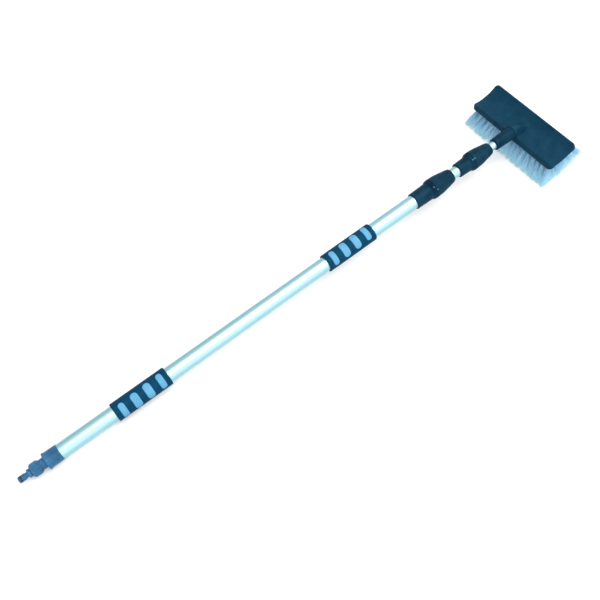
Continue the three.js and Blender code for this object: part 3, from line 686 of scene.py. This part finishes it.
def lock_nut_outline(lock):
    length = lock["nut_length"]
    drop = lock["nut_rear"] - lock["nose"]
    pocket_radius = lock["seat"][1] + collet_clearance
    thread_radius = lock["spigot"] + nut_clearance
    return [(lock["nut_start"] + along, radius) for along, radius in [
        *[(length * share, lock["nut_rear"] - drop * fall) for share, fall in nut_crown_shares],
        (length - nose_chamfer, lock["nose"]), (length, lock["nose"] - nose_chamfer),
        (length, lock["nose_hole"]), (collet_pocket_end, lock["nose_hole"]),
        (collet_pocket_end, pocket_radius), (nut_thread_end, pocket_radius),
        (nut_thread_end, thread_radius), (0, thread_radius),
    ]]


def nut_ribs(lock, along, radius, clock):
    """How deep a point of a lock's nut lies in the hollows between its ribs."""
    if radius < lock["spigot"] + nut_skin:
        return 0
    share = (along - lock["nut_start"]) / lock["nut_length"]
    hollow = (0.5 - 0.5 * math.cos(nut_rib_count * clock)) ** 6
    on_nut = fade(share, *nut_rib_start_shares) * fade(share, *nut_rib_end_shares)
    return nut_rib_depth * hollow * on_nut


for lock in locks:
    lock["start"] = stations(lock["name"] + "_body")[0]
    lock["nut_start"] = stations(lock["name"] + "_nut")[0]
    body = made(lock["name"] + "_body_moulding", turned(
        divided(eased(lock_body_outline(lock), rounding=0.9), longest=3), sides=120), pole_pose)
    body_mark = made(lock["name"] + "_body_mark", index_mark(
        lock["start"] + lock["length"] - seam_space - mark_length / 2, lock["seam"],
        body_mark_degrees), pole_pose)
    nut = made(lock["name"] + "_nut_moulding", turned(
        divided(eased(lock_nut_outline(lock), rounding=1.1), longest=2), sides=240,
        sink=functools.partial(nut_ribs, lock)), pole_pose)
    nut_mark = made(lock["name"] + "_nut_mark", index_mark(
        lock["nut_start"] + seam_space + mark_length / 2, lock["nut_rear"],
        lock["nut_mark_degrees"]), pole_pose)
    for mark in (body_mark, nut_mark):
        mark.data.materials.append(mark_plastic_painted_glint)
    for moulding in (body, nut):
        moulding.data.materials.append(lock_plastic)
    for piece, rides, node in ((body, 0, "_body"), (body_mark, 0, "_body"),
                               (nut, 1, "_nut"), (nut_mark, 1, "_nut")):
        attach(piece, lock["bodies"][rides])
        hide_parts(lock["name"] + node)

# Collets and guide plugs
# Moulded in unpigmented acetal, which needs no grease: the slotted collets inside the locks
# and the plugs that guide each sliding tube's lower end. All lie inside the pole.

guide_plastic = moulded("guide_plastic", (0.62, 0.62, 0.56), (0.70, 0.70, 0.65), 0.45)
for node in ("lock_1_collet", "lock_2_collet", "middle_guide", "inner_guide"):
    frame["nodes"][node].material_slots[0].material = guide_plastic

# Neck
# A moulded socket that is pressed on the inner tube. It widens a little towards the head,
# and its spigot plugs into the head's hub.

neck_start = stations("neck")[0]
neck_length = 50.2
neck_radii = (13, 14.2)
neck_chamfer = 1.2
neck_bore = 6
neck_socket_depth = 30
neck_socket_radius = 9.8
neck_spigot_end = 64.2
neck_spigot_radius = 10.4
neck_groove = (56.2, 58.4)
neck_groove_radius = 8.5
neck_outline = [(neck_start + along, radius) for along, radius in [
    (0, neck_radii[0] - neck_chamfer), (neck_chamfer, neck_radii[0]),
    (neck_length, neck_radii[1]), (neck_length, neck_spigot_radius),
    (neck_groove[0], neck_spigot_radius), (neck_groove[0], neck_groove_radius),
    (neck_groove[1], neck_groove_radius), (neck_groove[1], neck_spigot_radius),
    (neck_spigot_end, neck_spigot_radius), (neck_spigot_end, neck_bore),
    (neck_socket_depth, neck_bore), (neck_socket_depth, neck_socket_radius),
    (0, neck_socket_radius),
]]
neck = made("neck_moulding", turned(
    divided(eased(neck_outline, rounding=0.5), longest=3), sides=120), pole_pose)
neck.data.materials.append(lock_plastic)
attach(neck, "inner_section")
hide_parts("neck")

# Head shell
# One long moulding with a dished back, rounded edges and walls that spread downwards. A hub
# fairing runs over it from the neck's socket, and narrows and sinks until it melts away.

near_edge = 1200.8
rim_below_axis = 5.8
head_turn_degrees = 11.6
head_length = 232
head_width = 73
dish_half = 35
dish_depth = 11.5
dish_radius = (dish_half ** 2 + dish_depth ** 2) / (2 * dish_depth)
block_height = 14
wall_flare = 2.6
corner_radius = 9
shell_wall = 3
wall_lip = 0.8
hub_radius = 15.2
hub_start = 3.6
hub_end = 52
hub_end_half = 11
hub_end_drop = 10.5
hub_fall_start_share = 0.15
hub_blend = 3
hub_fullness = 0.8
hub_softness = 1.2
hub_sink = 0.35
hub_skirt = 3
hub_root = 5
hub_collar_start = stations("head_shell")[0]
hub_collar_length = 4.4
hub_bore = 10.7
head_pose = (pole_pose @ Matrix.Translation((near_edge * MM, 0, -rim_below_axis * MM))
             @ Matrix.Rotation(-math.radians(head_turn_degrees), 4, "Y"))


def back_level(across):
    """The level of the dished back over a place across the head."""
    side = min(abs(across - head_width / 2), dish_half)
    return dish_radius - dish_depth - math.sqrt(dish_radius ** 2 - side ** 2)


def flared(point, level):
    """A point moved out with the long walls, which spread as they go down."""
    side = (point.x - head_width / 2) / (head_width / 2 - corner_radius)
    out = min(max(side, -1), 1) * wall_flare * max(-level, 0) / block_height
    return Vector((point.x + out, point.y, level))


def back_rows():
    """Rows of places over the back inside its rounded edge, close together at the corners."""
    inner_radius = corner_radius - shell_wall
    half = head_length / 2 - shell_wall
    ends = [(half - inner_radius * (1 - cosine), inner_radius * (1 - sine))
            for sine, cosine in quarter_arc(9)]
    middle_count, across_count = 96, 44
    reach = half - inner_radius
    places = [(-along, inset) for along, inset in ends]
    places += [(reach * (2 * step / middle_count - 1), 0) for step in range(1, middle_count)]
    places += [(along, inset) for along, inset in reversed(ends)]
    rows = []
    for along, inset in places:
        near = shell_wall + inset
        far = head_width - near
        rows.append([Vector((near + (far - near) * step / across_count, along, 0))
                     for step in range(across_count + 1)])
    return rows


def head_block():
    """The back's two skins, and loops round them: the rounded edge, the wall, its lip and
    the wall's inside."""
    shape = bmesh.new()
    rows = back_rows()
    for lower in (0, shell_wall):
        grid = [[shape.verts.new((p.x, p.y, back_level(p.x) - lower)) for p in row]
                for row in rows]
        for row, following in zip(grid, grid[1:]):
            for index in range(len(row) - 1):
                shape.faces.new((row[index], row[index + 1], following[index + 1],
                                 following[index]))
    edge = (rows[0] + [row[-1] for row in rows[1:-1]] + rows[-1][::-1]
            + [row[0] for row in reversed(rows[1:-1])])
    loops = []
    centre_x = head_width / 2 - corner_radius
    centre_y = head_length / 2 - corner_radius
    outward = []
    for point in edge:
        side = point.x - head_width / 2
        centre = Vector((head_width / 2 + min(max(side, -centre_x), centre_x),
                         min(max(point.y, -centre_y), centre_y), 0))
        outward.append((point - centre).normalized())
    for sine, cosine in quarter_arc(7):
        loops.append([
            flared(point + out * shell_wall * sine,
                   back_level(point.x) - shell_wall * (1 - cosine))
            for point, out in zip(edge, outward)
        ])
    wall_end = wall_lip - block_height
    for share in (0.2, 0.4, 0.6, 0.8, 1):
        loops.append([
            flared(point + out * shell_wall,
                   (back_level(point.x) - shell_wall) * (1 - share) + wall_end * share)
            for point, out in zip(edge, outward)
        ])
    for turn in (math.pi / 4, math.pi / 2, 3 * math.pi / 4):
        loops.append([
            flared(point + out * shell_wall / 2 * (1 + math.cos(turn)),
                   wall_end - wall_lip * math.sin(turn))
            for point, out in zip(edge, outward)
        ])
    for share in (0, 1 / 3, 2 / 3, 1):
        loops.append([
            flared(point, wall_end * (1 - share) + (back_level(point.x) - shell_wall) * share)
            for point in edge
        ])
    add_loops(shape, loops)
    bmesh.ops.remove_doubles(shape, verts=shape.verts, dist=0.01)
    return shape


def hub_ring(across):
    """The fairing's section at a place across the head: an arch that melts into the back."""
    share = across / hub_end
    slope = math.tan(math.radians(head_turn_degrees))
    near_top = rim_below_axis - slope * across + hub_radius
    top = near_top + (-hub_end_drop - near_top) * fade(share, hub_fall_start_share, 1)
    half = hub_end_half + (hub_radius - hub_end_half) * (1 - share) ** 4
    low = -dish_depth - shell_wall / 2
    root = low - hub_root
    back = back_level(across) - hub_sink
    skirt = half + hub_skirt
    arch_steps = 48
    ring = [Vector((across, skirt, low)), Vector((across, skirt, back))]
    for step in range(arch_steps + 1):
        turn = math.pi * step / arch_steps
        side = math.copysign(abs(math.cos(turn)) ** hub_fullness, math.cos(turn))
        arch = root + (top - root) * math.sin(turn) ** (hub_fullness + hub_softness * share)
        near_back = max(hub_blend - abs(arch - back), 0)
        level = max(arch, back) + near_back ** 2 / (4 * hub_blend)
        ring.append(Vector((across, half * side, level)))
    return ring + [Vector((across, -skirt, back)), Vector((across, -skirt, low))]


def add_loft(shape, rings):
    """A closed body through rings of as many points each."""
    add_loops(shape, rings)
    for ring in (rings[0], rings[-1]):
        shape.faces.new([shape.verts.new(point) for point in ring])
    bmesh.ops.remove_doubles(shape, verts=shape.verts, dist=0.001)


hub = bmesh.new()
hub_steps = 40
add_loft(hub, [hub_ring(hub_start + (hub_end - hub_start) * step / hub_steps)
               for step in range(hub_steps + 1)])
hub_collar_end = hub_collar_start + hub_collar_length
collar_outline = [(hub_collar_start, hub_radius), (hub_collar_end, hub_radius),
                  (hub_collar_end, hub_bore), (hub_collar_start, hub_bore)]
collar = turned(divided(eased(collar_outline, rounding=0.6), longest=3), sides=120)
head_plastic = moulded("head_plastic", (0.003, 0.030, 0.060), (0.007, 0.048, 0.090), 0.48)
for name, shape, pose in (("head_back", head_block(), head_pose), ("head_hub", hub, head_pose),
                          ("head_hub_collar", collar, pole_pose)):
    moulding = made(name, shape, pose)
    moulding.data.materials.append(head_plastic)
    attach(moulding, "inner_section")
    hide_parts("head_shell")

# Tuft plate and slats
# The plate closes the shell from below and bulges out, so that the bristles fan. Four slats
# of the same plastic, which hold the tufts, are let into it.

belly_half = 36.1
belly_depth = 10
belly_radius = (belly_half ** 2 + belly_depth ** 2) / (2 * belly_depth)
belly_centre = belly_radius - block_height - belly_depth
belly_turn = math.asin(belly_half / belly_radius)
slat_thickness = 2
slat_length = 221.4
slat_edges = [(-0.93, -0.66), (-0.64, -0.1), (0.1, 0.64), (0.66, 0.93)]
slat_steps = 40
slat_arc_steps = 8


def belly_point(depth, share, along):
    """A point under the belly's curve, at a share of its half turn from the middle."""
    turn = share * belly_turn
    radius = belly_radius - depth
    return Vector((head_width / 2 + radius * math.sin(turn), along,
                   belly_centre - radius * math.cos(turn)))


def slat_shape(edges):
    """A slat between two edges, which are shares of the belly's half turn."""
    shape = bmesh.new()
    low, high = edges
    shares = [low + (high - low) * step / slat_arc_steps for step in range(slat_arc_steps + 1)]
    section = [(0, share) for share in shares]
    section += [(slat_thickness, share) for share in reversed(shares)]
    add_loft(shape, [[belly_point(depth, share, slat_length * (step / slat_steps - 0.5))
                      for depth, share in section] for step in range(slat_steps + 1)])
    return shape


frame["nodes"]["tuft_plate"].material_slots[0].material = head_plastic

# Bristles
# Tufts of crimped nylon filament, stapled in the slats in six rows: the outer rows lean out
# past the block, so that the brush reaches round edges. The cut tips have gone ragged.

trim_depth = 57.8
pale_depth = 15
fan_reach = 25
end_flare = 6
tuft_rows = [(-0.8,), (-0.5, -0.2), (0.2, 0.5), (0.8,)]
row_tips = {0.8: 1, 0.5: 0.6, 0.2: 0.18}
tuft_count = 17
staggered_row = 0.5
tuft_end_margin = 14
tuft_root_radius = 2.7
tuft_tip_radius = 7.5
tuft_tip_reach = 14
tuft_lean = (2.2, 2)
tuft_bow_share = 0.06
tip_spread_shares = (0.7, 1.2)
trim_scatter = 0.06
near_tip_room = 0.5
far_tip_room = 2.2
end_tip_room = 0.5
floor_room = 0.3
filament_count = 110
filament_steps = 5
filament_root = 0.34
filament_tip = 0.26
filament_bow = 0.8
crimp_size = 0.22
crimp_turn = 9
golden_turn = math.pi * (3 - math.sqrt(5))
bristle_nodes = ["near_bristles", "near_inner_bristles", "far_inner_bristles", "far_bristles"]


def nylon(place):
    """Nylon filament with painted light: paler towards the cut tips and darker at the roots as
    painted shade, with a painted glow at the tips in place of light passing through.
    """
    strand = place.clouds((0.0009, 0.0009, 0.012), 1.0).between(0.3, 0.7)
    tuft_tone = place.clouds((0.009, 0.009, 0.05)).between(0.3, 0.7)
    head_up = head_pose.col[2].xyz
    height = place.node("VectorMath", {"operation": "DOT_PRODUCT"}, {0: place, 1: head_up}, 1)
    rim_height = head_up.dot(head_pose.translation)
    reach = height.between(rim_height - pale_depth * MM, rim_height - trim_depth * MM)
    colour = (strand * 0.5 + tuft_tone * 0.5).tint((0.20, 0.46, 0.80), (0.56, 0.84, 1.0))
    return {
        # Painted light and shade: the colour pales towards the tips and darkens towards the roots.
        "Base Color": (reach * 0.5).tint(colour, (0.66, 0.98, 1.0)),
        # Painted glow: the tips give off light of their own, in place of light passing through the
        # nylon.
        "Emission Color": (reach * reach).tint((0.0, 0.01, 0.03), (0.48, 0.90, 0.98)),
        "Roughness": 0.45 + 0.2 * strand,
    }


# The emission strength lights the painted glow at the bristle tips.
bristle_nylon = surface("bristle_nylon", {
    "Specular IOR Level": 0.1, "Specular Tint": (0.45, 0.85, 1.0, 1.0),
    "Emission Strength": 0.2}, nylon)


def tuft_frames(rows):
    """The root and the tip of each tuft in some rows."""
    middle = head_width / 2
    tip_reach = middle + fan_reach - tuft_tip_radius
    for row in rows:
        root = belly_point(slat_thickness / 2, row, 0)
        tip_across = middle + math.copysign(row_tips[abs(row)], row) * tip_reach
        count = tuft_count - 1 if abs(row) == staggered_row else tuft_count
        for index in range(count):
            from_middle = 2 * index - (count - 1)
            along_root = from_middle / (tuft_count - 1) * (head_length / 2 - tuft_end_margin)
            along_tip = from_middle / (count - 1) * (head_length / 2 + end_flare - tuft_tip_radius)
            yield (Vector((root.x, along_root, root.z)),
                   Vector((tip_across, along_tip, -trim_depth)))


def filament(chance, verts, faces, root, tip, bow):
    """One three-sided filament, thinner at its tip, that bends by its bow and a little crimp."""
    line = (tip - root).normalized()
    side = line.cross(Vector((0, 1, 0))).normalized()
    other = line.cross(side)
    phase = chance.uniform(0, math.tau)
    first = len(verts)
    for step in range(filament_steps + 1):
        share = step / filament_steps
        crimp = crimp_size * share * math.sin(phase + crimp_turn * share)
        centre = root.lerp(tip, share) + bow * 4 * share * (1 - share)
        centre += side * crimp + other * crimp * math.cos(phase)
        radius = filament_root + (filament_tip - filament_root) * share
        for corner in range(3):
            turn = math.tau * corner / 3 + phase
            verts.append(centre + radius * (side * math.cos(turn) + other * math.sin(turn)))
    for step in range(filament_steps):
        low = first + 3 * step
        for corner in range(3):
            following = (corner + 1) % 3
            faces.append((low + corner, low + following, low + 3 + following, low + 3 + corner))
    last = first + 3 * filament_steps
    faces.append((first, first + 2, first + 1))
    faces.append((last, last + 1, last + 2))


def bristle_shape(chance, rows):
    """All the filaments of some rows. Tips that would pass the brush's reach bend back."""
    verts, faces = [], []
    lowest = floor_room - trim_depth
    side_reach = head_length / 2 + end_flare - end_tip_room
    near_reach = near_tip_room - fan_reach
    far_reach = head_width + fan_reach - far_tip_room
    for root, tip in tuft_frames(rows):
        lean = Vector((math.copysign(abs(chance.gauss(0, tuft_lean[0])), root.x - tip.x),
                       chance.gauss(0, tuft_lean[1]), 0))
        outward = Vector((tip.x - root.x, tip.y - root.y, 0)) * tuft_bow_share
        for index in range(filament_count):
            share = math.sqrt((index + 0.5) / filament_count)
            turn = index * golden_turn
            out = Vector((math.cos(turn), math.sin(turn), 0)) * share
            start = root + out * tuft_root_radius
            spread = chance.uniform(*tip_spread_shares)
            end = tip + lean + spread * Vector((
                out.x * tuft_tip_reach, out.y * tuft_tip_radius, 0))
            end = start.lerp(end, 1 - abs(chance.gauss(0, trim_scatter)))
            end.x = max(end.x, 2 * near_reach - end.x)
            end.x = min(end.x, 2 * far_reach - end.x)
            end.y = min(max(end.y, -side_reach), side_reach)
            end.z = max(end.z, lowest)
            bow = outward + out * chance.uniform(0, filament_bow)
            filament(chance, verts, faces, start, end, bow)
    shape = bmesh.new()
    placed = [shape.verts.new(vert) for vert in verts]
    for face in faces:
        shape.faces.new([placed[index] for index in face])
    return shape


chance = random.Random(11)
for node, rows, edges in zip(bristle_nodes, tuft_rows, slat_edges):
    slat = made(node.replace("bristles", "slat"), slat_shape(edges), head_pose)
    slat.data.materials.append(head_plastic)
    tufts = made(node.replace("bristles", "tufts"), bristle_shape(chance, rows), head_pose,
                 sharp_degrees=180)
    tufts.data.materials.append(bristle_nylon)
    for piece in (slat, tufts):
        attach(piece, "inner_section")
        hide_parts(node)

# The studio
# A white floor, one large soft lamp above, and a pale sky that is brighter on one side. The
# camera looks down from beside the hose end, so the pole runs from corner to corner.

floor_size = 60
floor = bpy.data.objects.new("floor", bpy.data.meshes.new("floor"))
corners = [(-1, -1), (1, -1), (1, 1), (-1, 1)]
floor.data.from_pydata([(x * floor_size / 2, y * floor_size / 2, 0) for x, y in corners], [],
                       [(0, 1, 2, 3)])
bpy.context.scene.collection.objects.link(floor)


def camera_ray(tree):
    """1 for the rays that the camera sees by, and 0 for the light's own."""
    return Signal(tree.nodes.new("ShaderNodeLightPath").outputs["Is Camera Ray"])


floor_paint = bpy.data.materials.new("floor_paint")
floor_paint.use_nodes = True
shader = floor_paint.node_tree.nodes["Principled BSDF"]
shader.inputs["Roughness"].default_value = 0.9
shader.inputs["Specular IOR Level"].default_value = 0.0
shader.inputs["Emission Strength"].default_value = 0.2
seen = camera_ray(floor_paint.node_tree)
floor_tone = seen.tint((0.55, 0.62, 0.65), (0.84, 0.84, 0.84))
floor_paint.node_tree.links.new(floor_tone.socket, shader.inputs["Base Color"])
floor_glow = seen.tint((0.0, 0.0, 0.0), (1.0, 1.0, 1.0))
floor_paint.node_tree.links.new(floor_glow.socket, shader.inputs["Emission Color"])
floor.data.materials.append(floor_paint)

sky_strength = 0.85
sky_slope = 0.45
bright_side = (0.3, -0.9, 0.3)
world = bpy.data.worlds.new("sky")
world.use_nodes = True
background = world.node_tree.nodes["Background"]
background.inputs["Color"].default_value = (1, 1, 1, 1)
direction = Signal(world.node_tree.nodes.new("ShaderNodeTexCoord").outputs["Generated"])
brightness = direction.node("VectorMath", {"operation": "DOT_PRODUCT"}, {
    0: direction, 1: bright_side}, 1)
glow = sky_strength + sky_slope * brightness
strength = glow + camera_ray(world.node_tree) * (1 - glow)
world.node_tree.links.new(strength.socket, background.inputs["Strength"])
bpy.context.scene.world = world

lamp = bpy.data.objects.new("key_lamp", bpy.data.lights.new("key_lamp", "AREA"))
lamp.data.shape = "DISK"
lamp.data.size = 3.5
lamp.data.energy = 110
lamp.location = (1.0, -1.0, 4.0)
lamp.rotation_euler = (-lamp.location).to_track_quat("-Z", "Y").to_euler()
bpy.context.scene.collection.objects.link(lamp)

photo_size = 600
focal_pixels = 813.356
sensor_width = 36
camera_place = Vector((-0.505406, -0.691837, 1.393217))
camera_target = Vector((-0.035875, -0.011550, 0))
camera_roll = -0.0643818
camera = bpy.data.objects.new("camera", bpy.data.cameras.new("camera"))
camera.data.sensor_width = sensor_width
camera.data.lens = sensor_width * focal_pixels / photo_size
camera.data.clip_start = 0.01
look = (camera_target - camera_place).normalized()
right = look.cross(Vector((0, 0, 1))).normalized()
upright = right.cross(look)
turned_right = math.cos(camera_roll) * right + math.sin(camera_roll) * upright
turned_up = math.cos(camera_roll) * upright - math.sin(camera_roll) * right
camera.matrix_world = Matrix.Translation(camera_place) @ Matrix(
    (turned_right, turned_up, -look)).transposed().to_4x4()
bpy.context.scene.collection.objects.link(camera)
bpy.context.scene.camera = camera
bpy.context.scene.view_settings.view_transform = "Standard"
